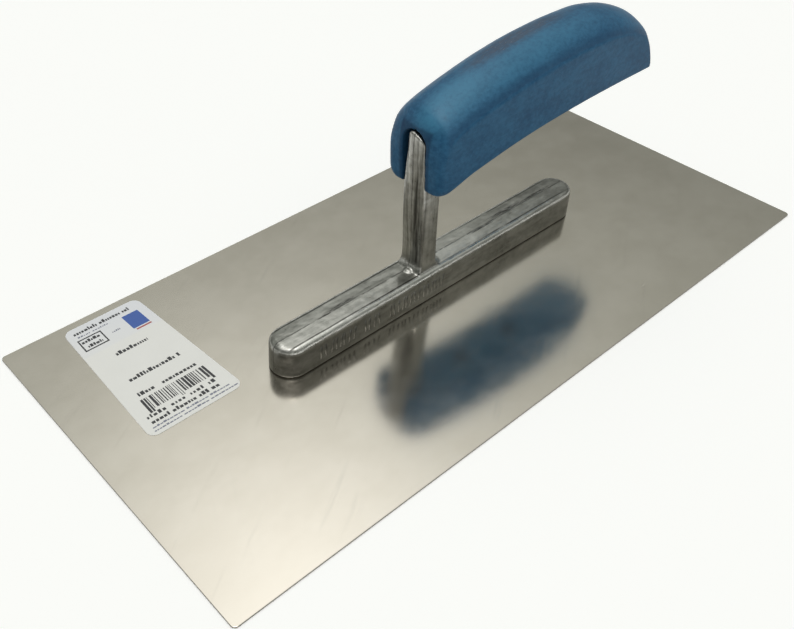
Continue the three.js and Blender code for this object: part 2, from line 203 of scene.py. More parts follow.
def rounded_outline(w, h, r, seg):
    pts = []
    for cx, cy, a0 in ((w / 2 - r, h / 2 - r, 0), (-w / 2 + r, h / 2 - r, 90), (-w / 2 + r, -h / 2 + r, 180), (w / 2 - r, -h / 2 + r, 270)):
        for i in range(seg + 1):
            a = math.radians(a0 + 90 * i / seg)
            pts.append((cx + r * math.cos(a), cy + r * math.sin(a)))
    return pts


# ------------------------------------------------------------------ node helpers
class Nodes:
    """Short-hand for a material's node tree; positions come from object coordinates, in metres."""

    def __init__(self, name):
        self.mat = bpy.data.materials.new(name)
        self.mat.use_nodes = True
        self.nt = self.mat.node_tree
        self.nt.nodes.clear()
        self.out = self.nt.nodes.new("ShaderNodeOutputMaterial")
        self.bsdf = self.nt.nodes.new("ShaderNodeBsdfPrincipled")
        self.nt.links.new(self.bsdf.outputs[0], self.out.inputs[0])
        self.tc = self.nt.nodes.new("ShaderNodeTexCoord")
        self.pos = self.tc.outputs["Object"]
        sep = self.nt.nodes.new("ShaderNodeSeparateXYZ")
        self.link(self.pos, sep.inputs[0])
        self.x, self.y, self.z = sep.outputs

    def link(self, a, b):
        self.nt.links.new(a, b)

    def put(self, socket, value):
        if isinstance(value, (int, float)):
            socket.default_value = value
        elif isinstance(value, (tuple, list)):
            socket.default_value = (*value, 1.0) if len(value) == 3 and len(socket.default_value) == 4 else value
        else:
            self.link(value, socket)

    def set(self, **values):
        for k, v in values.items():
            self.put(self.bsdf.inputs[k.replace("_", " ")], v)

    def math(self, op, a, b=0.0, c=0.0, clamp_it=False):
        n = self.nt.nodes.new("ShaderNodeMath")
        n.operation = op
        n.use_clamp = clamp_it
        for s, v in zip(n.inputs, (a, b, c)):
            self.put(s, v)
        return n.outputs[0]

    def add(self, a, b): return self.math("ADD", a, b)
    def sub(self, a, b): return self.math("SUBTRACT", a, b)
    def mul(self, a, b): return self.math("MULTIPLY", a, b)

    def scaled(self, vec, s, offset=(0, 0, 0)):
        n = self.nt.nodes.new("ShaderNodeMapping")
        self.link(vec, n.inputs["Vector"])
        n.inputs["Scale"].default_value = s
        n.inputs["Location"].default_value = offset
        return n.outputs[0]

    def turnedvec(self, vec, degrees, s):
        n = self.nt.nodes.new("ShaderNodeMapping")
        n.vector_type = "TEXTURE"
        self.link(vec, n.inputs["Vector"])
        n.inputs["Rotation"].default_value = (0, 0, math.radians(degrees))
        return self.scaled(n.outputs[0], s)

    def noise(self, vec, scale=1.0, detail=3.0, rough=0.55, distortion=0.0):
        n = self.nt.nodes.new("ShaderNodeTexNoise")
        self.link(vec, n.inputs["Vector"])
        n.inputs["Scale"].default_value = scale
        n.inputs["Detail"].default_value = detail
        n.inputs["Roughness"].default_value = rough
        n.inputs["Distortion"].default_value = distortion
        return n.outputs["Fac"]

    def ramp(self, v, lo, hi, a=0.0, b=1.0, smooth=True):
        n = self.nt.nodes.new("ShaderNodeMapRange")
        n.interpolation_type = "SMOOTHSTEP" if smooth else "LINEAR"
        self.put(n.inputs["Value"], v)
        for k, x in (("From Min", lo), ("From Max", hi), ("To Min", a), ("To Max", b)):
            n.inputs[k].default_value = x
        return n.outputs["Result"]

    def mix(self, fac, a, b):
        n = self.nt.nodes.new("ShaderNodeMix")
        n.data_type = "RGBA"
        n.clamp_factor = True
        self.put(n.inputs["Factor"], fac)
        self.put(n.inputs[6], a)
        self.put(n.inputs[7], b)
        return n.outputs[2]

    def bump(self, height, strength, distance, normal=None):
        n = self.nt.nodes.new("ShaderNodeBump")
        n.inputs["Strength"].default_value = strength
        n.inputs["Distance"].default_value = distance
        self.put(n.inputs["Height"], height)
        if normal is not None:
            self.link(normal, n.inputs["Normal"])
        return n.outputs[0]

    def ellipse(self, cx, cy, rx, ry, turn=0.0, soft=0.5):
        """1 inside an ellipse in the XY plane, falling to 0 outside it. Millimetres."""
        c, s = math.cos(math.radians(turn)), math.sin(math.radians(turn))
        dx, dy = self.sub(self.x, cx * MM), self.sub(self.y, cy * MM)
        u = self.math("DIVIDE", self.add(self.mul(dx, c), self.mul(dy, s)), rx * MM)
        v = self.math("DIVIDE", self.sub(self.mul(dy, c), self.mul(dx, s)), ry * MM)
        r = self.math("SQRT", self.add(self.mul(u, u), self.mul(v, v)))
        return self.ramp(r, 1.0 - soft, 1.0 + soft, 1.0, 0.0)


def steel_material():
    n = Nodes("blade_steel_rolled")
    broad = n.noise(n.scaled(n.pos, (9, 13, 9)), detail=2)
    blotch = n.noise(n.scaled(n.pos, (60, 75, 60)), detail=4, rough=0.6)
    rolled = n.noise(n.scaled(n.pos, (16, 1500, 60)), detail=3, rough=0.65)
    smear = n.noise(n.turnedvec(n.pos, 32, (22, 260, 60)), detail=3, rough=0.6)
    scr = None
    for ang, seedx in ((8, 0.0), (-27, 3.1), (63, 7.7)):
        lines = n.noise(n.scaled(n.turnedvec(n.pos, ang, (1, 1, 1)), (14, 2600, 10), (seedx, seedx, 0)), detail=1, rough=0.4)
        one = n.ramp(lines, 0.750, 0.815)
        scr = one if scr is None else n.math("MAXIMUM", scr, one)
    tone = n.add(n.mul(blotch, 0.5), n.mul(broad, 0.5))
    colour = n.mix(n.ramp(tone, 0.35, 0.65), (0.618, 0.575, 0.508), (0.676, 0.632, 0.566))
    colour = n.mix(n.mul(n.ramp(smear, 0.58, 0.80), 0.22), colour, (0.50, 0.468, 0.415))
    colour = n.mix(n.mul(scr, 0.10), colour, (0.80, 0.77, 0.72))
    rough = n.add(0.135, n.mul(n.ramp(blotch, 0.3, 0.75), 0.045))
    rough = n.add(rough, n.mul(n.ramp(smear, 0.55, 0.8), 0.05))
    rough = n.add(rough, n.mul(scr, 0.10))
    bumped = n.bump(n.add(n.mul(rolled, 1.0), n.mul(scr, -0.5)), 0.10, 0.00002)
    bumped = n.bump(broad, 0.12, 0.0016, bumped)
    n.set(Base_Color=colour, Metallic=1.0, Roughness=rough, Normal=bumped)
    return n.mat


def edge_material():
    # Cut edge with a rougher finish; its dark colour is painted shade along the edge.
    n = Nodes("blade_cut_edge_shaded")
    grain = n.noise(n.scaled(n.pos, (900, 900, 4200)), detail=3, rough=0.6)
    wear = n.noise(n.scaled(n.pos, (70, 70, 70)), detail=3)
    n.set(Base_Color=n.mix(wear, (0.20, 0.188, 0.166), (0.33, 0.31, 0.28)), Metallic=1.0,
          Roughness=n.add(0.34, n.mul(grain, 0.22)), Normal=n.bump(grain, 0.35, 0.00003))
    return n.mat


def cast_material():
    n = Nodes("cast_aluminium_tumbled")
    on_post = n.ramp(n.z, 0.0150, 0.0175)
    flow_bar = n.noise(n.scaled(n.pos, (55, 420, 260)), detail=4, rough=0.62)
    flow_post = n.noise(n.scaled(n.pos, (640, 640, 26)), detail=5, rough=0.68)
    flow = n.add(n.mul(flow_bar, n.sub(1.0, on_post)), n.mul(flow_post, on_post))
    mottled = n.noise(n.scaled(n.pos, (330, 330, 330)), detail=5, rough=0.66)
    fine = n.noise(n.scaled(n.pos, (2600, 2600, 2600)), detail=3, rough=0.6)
    soft = n.noise(n.scaled(n.pos, (95, 150, 150)), detail=2)
    # Thin flash line where the two halves of the die met, on the plane y = 0.
    seam = n.ramp(n.math("ABSOLUTE", n.add(n.y, n.mul(n.sub(n.noise(n.scaled(n.pos, (140, 1, 1)), detail=3), 0.5), 0.0007))), 0.00012, 0.00034, 1.0, 0.0)
    broken = n.ramp(n.noise(n.scaled(n.pos, (170, 1, 60), (5.2, 0, 0)), detail=4, rough=0.7), 0.36, 0.55)
    seam = n.mul(seam, n.add(0.25, n.mul(broken, 0.75)))
    scuff = None
    for cx, cy, rx, ry, turn in ((-45.5, 0.9, 6.4, 0.62, 1.5), (-52.5, 0.2, 3.0, 0.34, 2), (39.0, 1.2, 7.5, 0.85, -1.5), (55.5, 0.9, 8.0, 0.55, 1.5), (24.0, -0.6, 6.0, 0.35, 0)):
        e = n.ellipse(cx, cy, rx, ry, turn, 0.55)
        scuff = e if scuff is None else n.math("MAXIMUM", scuff, e)
    scuff = n.mul(n.mul(scuff, n.ramp(n.z, 0.0118, 0.0124)), n.ramp(n.noise(n.scaled(n.pos, (420, 2600, 900)), detail=4, rough=0.7), 0.34, 0.58))
    scuff = n.mul(scuff, n.sub(1.0, n.ramp(n.z, 0.0140, 0.0150)))
    # Painted contact shadow: darker toward the foot of the bar where it sits on the blade.
    contact_shadow = n.ramp(n.z, 0.0007, 0.0016, 1.0, 0.0)
    tone = n.add(n.mul(flow, 0.55), n.mul(mottled, 0.45))
    colour = n.mix(n.ramp(tone, 0.34, 0.66), (0.30, 0.297, 0.275), (0.56, 0.555, 0.522))
    # Painted shade: a thin broken dark line where the facet meets the shoulder. Further down, painted shade darkens the
    # top behind the post, under the grip, with a mottled patch.
    away = n.sub(n.math("ABSOLUTE", n.add(n.y, n.mul(n.sub(n.noise(n.scaled(n.pos, (60, 1, 1), (9, 0, 0)), detail=2), 0.5), 0.0005))), 0.0050)
    line = n.mul(n.ramp(n.math("ABSOLUTE", away), 0.00012, 0.00034, 1.0, 0.0), n.ramp(n.z, 0.0121, 0.0124))
    line = n.mul(n.mul(line, n.sub(1.0, n.ramp(n.z, 0.0134, 0.0138))), n.ramp(n.noise(n.scaled(n.pos, (110, 1, 1), (3, 0, 0)), detail=3), 0.34, 0.47))
    # Painted shade darkens the walls, most of all toward the front end; a painted highlight brightens the rounded
    # shoulder between walls and top, most of all near the front end.
    on_bar = n.sub(1.0, n.ramp(n.z, 0.0138, 0.0148))
    wall = n.ramp(n.z, 0.0098, 0.0110, 1.0, 0.0)
    # Painted shade on the walls of the bar, stronger toward the front end.
    colour = n.mix(n.mul(wall, n.ramp(n.x, -0.050, -0.020, 0.64, 0.30)), colour, (0.125, 0.122, 0.110))
    # Painted highlight along the rounded shoulder, stronger near the front end.
    shoulder_highlight = n.mul(n.mul(n.ramp(n.z, 0.0106, 0.0114), n.ramp(n.math("ABSOLUTE", n.y), 0.0052, 0.0056)), on_bar)
    colour = n.mix(n.mul(shoulder_highlight, n.ramp(n.x, -0.060, 0.040, 0.85, 0.62)), colour, (0.88, 0.87, 0.83))
    # Raised ribs stand out a little darker than the wall.
    proud = n.sub(n.sub(n.mul(n.y, -1.0), 0.00725), n.mul(n.sub(n.z, 0.0012), -0.0255))
    colour = n.mix(n.mul(n.mul(n.ramp(proud, 0.00002, 0.00007), wall), 0.30), colour, (0.075, 0.073, 0.066))
    # Painted shade line along the edge of the top facet.
    colour = n.mix(n.mul(line, 0.85), colour, (0.05, 0.048, 0.043))
    # Darker die streaks run up the post. On its front they are painted darker still as painted shade, and a broad dark
    # band down the front is painted shade.
    streaks = n.ramp(n.noise(n.scaled(n.pos, (760, 900, 16), (0.4, 2.2, 0)), detail=3, rough=0.6), 0.44, 0.66)
    front = n.ramp(n.x, -0.0118, -0.0126)
    front_shade_band = n.ramp(n.math("ABSOLUTE", n.add(n.y, n.add(0.0020, n.mul(n.sub(n.noise(n.scaled(n.pos, (1, 1, 55), (0, 0, 3)), detail=2), 0.5), 0.0022)))), 0.0003, 0.0017, 1.0, 0.0)
    front_shade_band = n.mul(front_shade_band, n.mul(front, n.ramp(n.z, 0.060, 0.045)))
    # Die streaks, plus painted shade on the front of the post.
    colour = n.mix(n.mul(on_post, n.add(n.mul(streaks, n.add(0.22, n.mul(front, 0.38))), n.mul(front_shade_band, 0.55))), colour, (0.085, 0.083, 0.074))
    fresh = n.mul(n.mul(n.ramp(n.x, -0.006, -0.002), n.ramp(n.x, 0.008, 0.034, 1.0, 0.0)), n.mul(on_bar, n.ramp(n.z, 0.0116, 0.0121)))
    colour = n.mix(n.mul(fresh, 0.45), colour, (0.74, 0.735, 0.70))
    # Painted shade on the top of the bar under the grip, broken up by a mottled patch.
    shade_under_grip = n.mul(n.ramp(n.x, 0.020, 0.072), n.mul(n.ramp(n.z, 0.0118, 0.0124), n.sub(1.0, n.ramp(n.z, 0.0140, 0.0150))))
    patch = n.ramp(n.noise(n.scaled(n.pos, (150, 330, 100), (1, 4, 0)), detail=4, rough=0.65), 0.36, 0.60)
    colour = n.mix(n.mul(shade_under_grip, n.add(0.32, n.mul(patch, 0.40))), colour, (0.14, 0.137, 0.126))
    colour = n.mix(n.mul(seam, 0.62), colour, (0.11, 0.107, 0.10))
    colour = n.mix(n.mul(scuff, 0.80), colour, (0.045, 0.043, 0.040))
    # Painted contact shadow at the foot of the bar.
    colour = n.mix(n.mul(contact_shadow, 0.6), colour, (0.06, 0.058, 0.052))
    rough = n.add(0.235, n.mul(n.ramp(tone, 0.3, 0.7), 0.13))
    rough = n.sub(n.add(rough, n.mul(scuff, 0.25)), n.mul(shoulder_highlight, 0.03))
    rough = n.add(rough, n.mul(fine, 0.05))
    bumped = n.bump(soft, 0.35, 0.0014)
    bumped = n.bump(flow, 0.42, 0.00034, bumped)
    bumped = n.bump(mottled, 0.32, 0.00024, bumped)
    bumped = n.bump(fine, 0.20, 0.00004, bumped)
    bumped = n.bump(n.add(n.mul(seam, 1.0), n.mul(scuff, -0.8)), 0.7, 0.00012, bumped)
    n.set(Base_Color=colour, Metallic=1.0, Roughness=rough, Normal=bumped)
    return n.mat


def lacquer_material():
    n = Nodes("blue_lacquered_wood")
    grain = n.noise(n.scaled(n.pos, (26, 380, 380)), detail=5, rough=0.62, distortion=0.4)
    pores = n.noise(n.scaled(n.pos, (150, 2300, 2300)), detail=2, rough=0.5)
    cloud = n.noise(n.scaled(n.pos, (70, 110, 110)), detail=4, rough=0.6)
    orange = n.noise(n.scaled(n.pos, (1250, 1250, 1250)), detail=3, rough=0.55)
    pore = n.ramp(pores, 0.60, 0.72)
    mott = n.noise(n.scaled(n.pos, (620, 760, 760)), detail=4, rough=0.65)
    base = n.mix(n.ramp(n.add(n.mul(grain, 0.16), n.add(n.mul(cloud, 0.34), n.mul(mott, 0.50))), 0.34, 0.66), (0.018, 0.084, 0.178), (0.041, 0.156, 0.286))
    base = n.mix(n.mul(pore, 0.16), base, (0.006, 0.030, 0.080))
    # A long patch on the crown where hands have rubbed the lacquer dull and brownish.
    worn = n.mul(n.ellipse(31, 2.2, 23, 3.4, 0.5, 0.6), n.ramp(n.z, 0.0790, 0.0815))
    streak = n.noise(n.scaled(n.pos, (190, 1500, 1500), (2, 0, 0)), detail=4, rough=0.7)
    worn = n.mul(worn, n.ramp(streak, 0.36, 0.56, 0.35, 1.0))
    scratch = n.mul(worn, n.ramp(n.noise(n.scaled(n.pos, (420, 2600, 2600), (0, 5, 0)), detail=3, rough=0.7), 0.60, 0.72))
    base = n.mix(n.mul(worn, 0.70), base, (0.095, 0.105, 0.135))
    base = n.mix(n.mul(scratch, 0.65), base, (0.36, 0.39, 0.43))
    # Painted highlight: brighter on the crown near the post. Painted shade: darker along the crease, on the flat cheeks
    # and on the front below the crown.
    away = n.math("ABSOLUTE", n.y)
    crown_highlight = n.math("MAXIMUM", n.mul(n.ellipse(-5, -3.8, 15, 5.4, 0, 0.6), 0.85), n.mul(n.ellipse(20, -5.6, 38, 4.4, 0, 0.6), 0.55))
    crown_highlight = n.mul(n.mul(crown_highlight, n.ramp(n.z, 0.0675, 0.0725)), n.sub(1.0, worn))
    # Painted highlight on the crown.
    base = n.mix(n.mul(crown_highlight, n.ramp(mott, 0.25, 0.60, 0.7, 1.0)), base, (0.052, 0.218, 0.365))
    cheek = n.ramp(away, 0.01185, 0.01235)
    nose = n.mul(n.ramp(n.x, -0.0140, -0.0118, 1.0, 0.0), n.ramp(n.z, 0.0690, 0.0740, 1.0, 0.0))
    cheek = n.math("MAXIMUM", cheek, nose)
    # Painted shade inside the slot's mouth and on its rim.
    mouth = n.mul(n.mul(n.ramp(away, 0.0060, 0.0071, 1.0, 0.0), n.ramp(n.z, 0.0708, 0.0696)), n.ramp(n.x, -0.0100, -0.0085, 1.0, 0.0))
    base = n.mix(n.mul(mouth, 0.55), base, (0.004, 0.016, 0.042))
    # Painted shade along the crease above the cheeks.
    crease = n.mul(n.ramp(away, 0.0094, 0.0118), n.sub(1.0, cheek))
    base = n.mix(n.mul(crease, 0.50), base, (0.008, 0.040, 0.105))
    # Painted shade on the flat cheeks and the front of the nose.
    base = n.mix(n.mul(cheek, 0.24), base, (0.012, 0.045, 0.110))
    edge = n.ramp(n.z, 0.0480, 0.0525, 0.55, 0.0)
    base = n.mix(n.mul(edge, 0.35), base, (0.004, 0.022, 0.060))
    rough = n.add(0.36, n.mul(mott, 0.14))
    rough = n.add(rough, n.mul(worn, 0.2))
    bumped = n.bump(cloud, 0.16, 0.0011)
    bumped = n.bump(grain, 0.10, 0.00016, bumped)
    bumped = n.bump(mott, 0.30, 0.00022, bumped)
    bumped = n.bump(orange, 0.22, 0.00007, bumped)
    bumped = n.bump(pore, 0.25, -0.00005, bumped)
    n.set(Base_Color=base, Roughness=rough, Normal=bumped)
    n.set(**{"Coat_Weight": 0.0, "IOR": 1.4, "Specular_IOR_Level": n.sub(0.5, n.mul(cheek, 0.36))})
    return n.mat


def film_material():
    n = Nodes("label_film_white")
    soft = n.noise(n.scaled(n.pos, (120, 120, 120)), detail=3)
    fine = n.noise(n.scaled(n.pos, (3000, 3000, 3000)), detail=2)
    head = n.ramp(n.y, 0.0452, 0.0470)
    head = n.mul(head, n.ramp(n.add(n.y, n.mul(n.x, 0.35)), 0.0060, 0.0262, 0.45, 1.0))
    base = n.mix(soft, (0.84, 0.835, 0.81), (0.89, 0.885, 0.86))
    base = n.mix(n.mul(head, 0.75), base, (0.80, 0.815, 0.88))
    n.set(Base_Color=base, Roughness=n.add(0.33, n.mul(soft, 0.1)), Normal=n.bump(n.add(n.mul(fine, 0.2), soft), 0.12, 0.0003))
    return n.mat


def ink_material(name, a, b):
    n = Nodes(name)
    speck = n.noise(n.scaled(n.pos, (2600, 2600, 2600)), detail=2)
    n.set(Base_Color=n.mix(speck, a, b), Roughness=n.add(0.38, n.mul(speck, 0.12)), Normal=n.bump(speck, 0.1, 0.00002))
    return n.mat


def small_metal(name, a, b, rough):
    n = Nodes(name)
    rings = n.noise(n.scaled(n.pos, (1600, 1600, 900)), detail=4, rough=0.6)
    smear = n.noise(n.scaled(n.pos, (60, 1800, 300)), detail=3)
    n.set(Base_Color=n.mix(rings, a, b), Metallic=1.0, Roughness=n.add(rough, n.mul(smear, 0.16)), Normal=n.bump(n.add(rings, smear), 0.25, 0.00003))
    return n.mat


M_STEEL, M_EDGE, M_CAST, M_BLUE, M_FILM = steel_material(), edge_material(), cast_material(), lacquer_material(), film_material()
M_RIVET = small_metal("rivet_aluminium_ground", (0.52, 0.52, 0.51), (0.70, 0.70, 0.69), 0.20)
M_SCREW = small_metal("screw_blackened", (0.030, 0.030, 0.033), (0.065, 0.065, 0.070), 0.34)
M_BLACK = ink_material("ink_dark", (0.030, 0.030, 0.034), (0.060, 0.060, 0.066))
M_GREY = ink_material("ink_grey", (0.19, 0.20, 0.27), (0.27, 0.28, 0.35))
M_INKBLUE = ink_material("ink_blue", (0.055, 0.110, 0.38), (0.075, 0.160, 0.50))
M_RED = ink_material("ink_red", (0.42, 0.10, 0.10), (0.50, 0.16, 0.15))


def dress(ob, *mats):
    ob.data.materials.clear()
    for m in mats:
        ob.data.materials.append(m)
    return ob


# ------------------------------------------------------------------ blade
def make_blade():
    outline = rounded_outline(BLADE_L, BLADE_W, BLADE_R, 8)

    def ring(inset, z):
        fx, fy = (BLADE_L / 2 - inset) / (BLADE_L / 2), (BLADE_W / 2 - inset) / (BLADE_W / 2)
        return [(x * fx, y * fy, z) for x, y in outline]

    b = 0.10
    rings = [ring(b, 0.0), ring(b * 0.3, b * 0.3), ring(0, b), ring(0, BLADE_T - b), ring(b * 0.3, BLADE_T - b * 0.3), ring(b, BLADE_T)]
    ob = loft("trowel_blade", rings)
    for i, x in enumerate(RIVET_X):
        cut(ob, turned("cone%d" % i, [(0, -1), (4.2, -1), (3.2, 0), (2.2, 0.699), (2.2, 0.701), (2.2, 1.6), (0, 1.6)], 48, (x, 0, 0)))
    dress(ob, M_STEEL, M_EDGE)
    for p in ob.data.polygons:
        # The cut edge all round, but not the walls of the rivet holes.
        outside = max(abs(p.center.x) / (BLADE_L / 2 * MM), abs(p.center.y) / (BLADE_W / 2 * MM)) > 0.97
        p.material_index = 1 if abs(p.normal.z) < 0.8 and outside else 0
        p.use_smooth = False
    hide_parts("blade")
    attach(ob, "root")
    return ob


# ------------------------------------------------------------------ cast bar, post and tang
tang_top = table([[-16, 67.0], [20, 68.0], [TANG_END_X, 69.3]])
tang_foot = table([[-6, 55.2], [2, 56.4], [20, 59.4], [TANG_END_X, 62.6]])
post_far = table([[13, 5.15], [30, 5.05], [44, 4.8], [50, 4.45], [57, 3.65], [62, 3.05], [66, 2.95]])
post_near = table([[13, 5.15], [30, 5.05], [44, 4.9], [54, 4.75], [60, 4.65], [65, 4.4]])
post_front = table([[12.2, -15.2], [13.9, -14.2], [15.4, -13.5], [17.5, -13.3], [32, -14.3], [48, -15.3], [60, -16.2], [66, -16.45], [68, -16.2]])
post_back = table([[12.2, -3.0], [13.9, -4.4], [15.4, -5.2], [17.5, -5.5], [40, -6.5], [49, -6.7], [67, -6.7]])


def bar_ring(half, z_of_y, seg=22):
    c0, c1 = BAR_X0 + BAR_HALF, BAR_X1 - BAR_HALF
    pts = []
    for i in range(2 * seg + 1):
        a = math.pi / 2 + math.pi * i / (2 * seg)
        pts.append((c0 + half * math.cos(a), half * math.sin(a)))
    for i in range(1, 60):
        pts.append((lerp(c0, c1, i / 60), -half))
    for i in range(2 * seg + 1):
        a = -math.pi / 2 + math.pi * i / (2 * seg)
        pts.append((c1 + half * math.cos(a), half * math.sin(a)))
    for i in range(1, 60):
        pts.append((lerp(c1, c0, i / 60), half))
    return [(x, y, z_of_y(y)) for x, y in pts]


def make_bar():
    roof = lambda y: BAR_RIDGE_Z - 0.075 * abs(y)
    levels = [(6.85, lambda y: 0.72), (7.15, lambda y: 0.85), (7.25, lambda y: 1.2), (7.13, lambda y: 6.0), (7.02, lambda y: 10.5)]
    r = 1.85
    for i in range(1, 8):
        a = math.radians(90 * i / 8)
        half = 7.02 - r + r * math.cos(a)
        levels.append((half, (lambda s: (lambda y: 10.5 + (roof(5.17) - 10.5) * s))(math.sin(a))))
    for half in (5.0, 4.2, 3.0, 1.8, 0.8, 0.3):
        levels.append((half, roof))
    # Toward the middle the ends keep their distance from the tips, so that the ridge runs the whole length of the bar.
    rings = [bar_ring(h, z) for h, z in levels]
    return loft("bar_raw", rings)


def make_post():
    rings = []
    for i in range(75):
        z = lerp(11.6, 69.5, i / 74)
        spread = 0.35 * max(0.0, 1 - (z - 12.2) / 3.0) ** 2.2
        far, near, r, crown = post_far(z) + spread, -post_near(z) - spread, 0.95, 0.6
        x0, x1 = post_front(z) + 0.25, post_back(z)
        pts = []
        for cx, cy, a0 in ((x1 - r, far - r, 0), (x0 + r, far - r, 90), (x0 + r, near + r, 180), (x1 - r, near + r, 270)):
            for k in range(6):
                a = math.radians(a0 + 90 * k / 5)
                pts.append((cx + r * math.cos(a), cy + r * math.sin(a), z))
            if a0 == 90:
                for k in range(1, 10):
                    y = lerp(far - r, near + r, k / 10)
                    pts.append((x0 - crown * (1 - abs(y - 0.1) / 4.6), y, z))
        rings.append(pts)
    ob = loft("post_raw", rings)
    # Skew top of the head, higher on the +Y side.
    head = [(3.15, 65.0), (3.05, 66.3), (2.6, 67.2), (1.9, 67.8), (1.0, 68.0), (0.0, 67.9), (-1.1, 67.6), (-2.2, 67.1), (-3.4, 66.3), (-4.3, 65.3), (-4.8, 63.6)]
    ring = [(9, 5), (9, 60)] + head + [(-9, 58), (-9, 5)]
    cut(ob, loft("head_form", [[(x, y, z) for y, z in ring] for x in (-22, -2)]), "INTERSECT")
    return ob


def make_tang():
    rings = []
    xs = [-8.0] + [lerp(-7, TANG_END_X - 1.2, i / 40) for i in range(41)] + [TANG_END_X - 0.4, TANG_END_X]
    for k, x in enumerate(xs):
        back = clamp((x + 5) / 81)
        shrink = {len(xs) - 2: 0.93, len(xs) - 1: 0.82}.get(k, 1.0)
        w = (3.8 - 0.4 * back) * shrink
        lift = (1 - shrink) * 3.0
        zt, zb = tang_top(x) - lift, max(tang_foot(x), 55.2) + lift
        ring = [(x, w * 0.80, zb), (x, w, zb + 0.8)]
        for i in range(21):
            a = math.pi * i / 20
            ring.append((x, w * math.cos(a), zt - w + w * math.sin(a)))
        ring += [(x, -w, zb + 0.8), (x, -w * 0.80, zb)]
        rings.append(ring)
    return loft("tang_raw", rings)


def make_web():
    """The inner corner between post and tang, filled by a curved web."""
    foot = table([[-8, 47.0], [-6.7, 49.0], [-5.2, 52.6], [-2.6, 55.0], [2, 56.4]])
    rings = []
    for i in range(25):
        x = lerp(-8.0, 2.0, i / 24)
        zb, w = foot(x), 3.75
        rings.append([(x, w * 0.8, zb), (x, w, zb + 0.7), (x, w, 62.0), (x, -w, 62.0), (x, -w, zb + 0.7), (x, -w * 0.8, zb)])
    return loft("web_raw", rings)


def lump(name, centre, radii, seg=16):
    profile = [(math.sin(math.pi * i / seg), -math.cos(math.pi * i / seg)) for i in range(seg + 1)]
    ob = turned(name, [(max(r, 0.0), z) for r, z in profile], 24, (0, 0, 0))
    for v in ob.data.vertices:
        p = v.co / MM
        v.co = Vector((centre[0] + p.x * radii[0], centre[1] + p.y * radii[1], centre[2] + p.z * radii[2])) * MM
    return ob


def make_casting():
    parts = [make_bar(), make_post(), make_tang(), make_web(),
             # Sprue stub and flash left at the foot and the head of the post.
             lump("stub", (-15.0, -0.9, 13.0), (1.5, 1.7, 1.0)),
             lump("stub_side", (-14.4, -3.6, 12.65), (1.5, 0.9, 0.6)),
             lump("head_flash", (-15.3, 0.9, 67.4), (1.6, 1.5, 0.95)),
             lump("foot_back", (-3.6, -2.2, 12.9), (1.7, 2.0, 0.8)),
             lump("foot_back_far", (-3.6, 2.2, 12.9), (1.7, 2.0, 0.8))]
    ob = join("bar_and_post_casting", parts)
    voxel(ob, 0.36, smooth=4, factor=0.5)
    dress(shade(ob), M_CAST)
    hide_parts("mount_casting")
    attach(ob, "root")
    return ob


# ------------------------------------------------------------------ grip
grip_top = table([[GRIP_X0, 63.8], [-15.1, 68.7], [-14.2, 71.3], [-13, 73.3], [-11.3, 75.2], [-9.5, 76.3], [-7, 77.25], [-4, 78.25], [1, 79.65], [6, 81], [13, 82.75],
                  [20, 84.15], [36, 86], [52, 86.7], [64, 86.5], [74, 84.9], [80, 83.1], [86, 80.6], [92, 77.2], [98, 72.8], [106, 65]])
grip_foot = table([[GRIP_X0, 48.9], [-15.4, 48.1], [-14.2, 47.8], [-12.5, 47.9], [-9.5, 48.9], [-4, 50.9], [0, 52.1], [18, 55.4],
                   [38, 57.5], [60, 58.6], [82, 59.0], [106, 59.2]])
grip_half = table([[GRIP_X0, 9.6], [-15.6, 10.6], [-14.9, 11.4], [-13.6, 11.95], [-11.4, 12.2], [-5, 12.3], [40, 12.4], [80, 12.25], [106, 12.2]])
grip_rise = table([[GRIP_X0, 8.7], [-14, 9.5], [-11.4, 7.8], [-8.5, 7.35], [-5, 7.3], [2, 7.35], [10, 8.05], [18, 8.45], [43, 8.1], [64, 7.8], [76, 7.3], [84, 6.6], [106, 6.2]])
grip_edge = table([[GRIP_X0, 4.0], [-12, 3.4], [-6, 2.5], [12, 1.3], [70, 1.0], [90, 0.7]])
grip_end = table([[59, 95.9], [61.1, 95.5], [63.8, 94.5], [66.5, 93.2], [68.8, 91.9], [71.2, 90.2], [74.2, 87.8], [77.1, 84.5], [80, 80.9], [84, 75.6]])


def grip_ring(x):
    b, zt, zf = grip_half(x), grip_top(x), grip_foot(x)
    rise = min(grip_rise(x), (zt - zf) * 0.6)
    R = (b * b + rise * rise) / (2 * rise)
    a0 = math.asin((R - rise) / R)
    zc = zt - rise
    r = min(grip_edge(x), b * 0.36, (zc - zf) * 0.8)
    ring = []
    for i in range(61):
        a = a0 + (math.pi - 2 * a0) * i / 60
        ring.append((x, R * math.cos(a), zt - R + R * math.sin(a)))
    left, right = [], []
    for i in range(9):
        a = math.radians(90 * i / 8)
        left.append((x, -(b - r + r * math.cos(a)), zf + r - r * math.sin(a)))
        right.append((x, b - r + r * math.cos(a), zf + r - r * math.sin(a)))
    ring += [(x, -b, lerp(zc, zf + r, t)) for t in (0.25, 0.5, 0.75)] + left + right[::-1] + [(x, b, lerp(zf + r, zc, t)) for t in (0.25, 0.5, 0.75)]
    fade = clamp((22 - x) / 30)
    out = []
    for px, py, pz in ring:
        py *= 1 + GRIP_FLARE * (1 - (pz - zf) / (zt - zf))
        # The far cheek hangs a little lower at the front than the near one.
        pz -= 0.9 * clamp((py - 3) / 5) * clamp((54 - pz) / 4) * clamp((-4 - x) / 6)
        out.append((px - GRIP_LEAN * fade * (pz - 58), py, pz))
    return out


